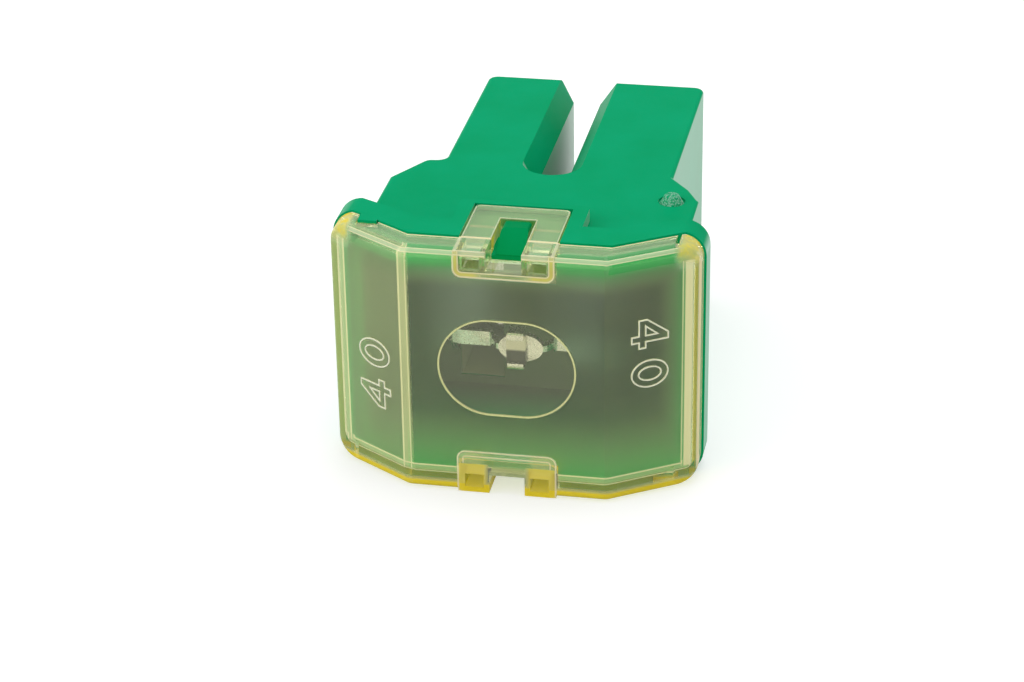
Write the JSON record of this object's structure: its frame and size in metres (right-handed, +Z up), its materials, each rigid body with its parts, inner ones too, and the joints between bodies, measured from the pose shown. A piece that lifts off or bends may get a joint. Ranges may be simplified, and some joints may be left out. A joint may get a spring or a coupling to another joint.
{
  "type": "fusible link",
  "caption": "Female cartridge fusible link: green housing with blade sockets in its legs, a clear amber cover held by latch straps, and a fuse strip behind an oval window.",
  "frame": {"origin": "centre of the box around the part, at its underside", "axes": "lies on its broad side: +Z up through the thickness, +Y from the cover to the socket mouths, +X across the sockets"},
  "size_m": [0.0202, 0.0258, 0.0144],
  "materials": {
    "housing": "satin, fine moulded grain",
    "cover": "clear amber, front face frosted inside but for the oval window",
    "fuse_link": "bright tin plating on copper alloy",
    "tin_chip": "dull tin alloy"
  },
  "bodies": {
    "root": {"housing": "housing", "cover": "cover", "fuse_link": "fuse_link", "tin_chip": "tin_chip"}
  },
  "joints": []
}
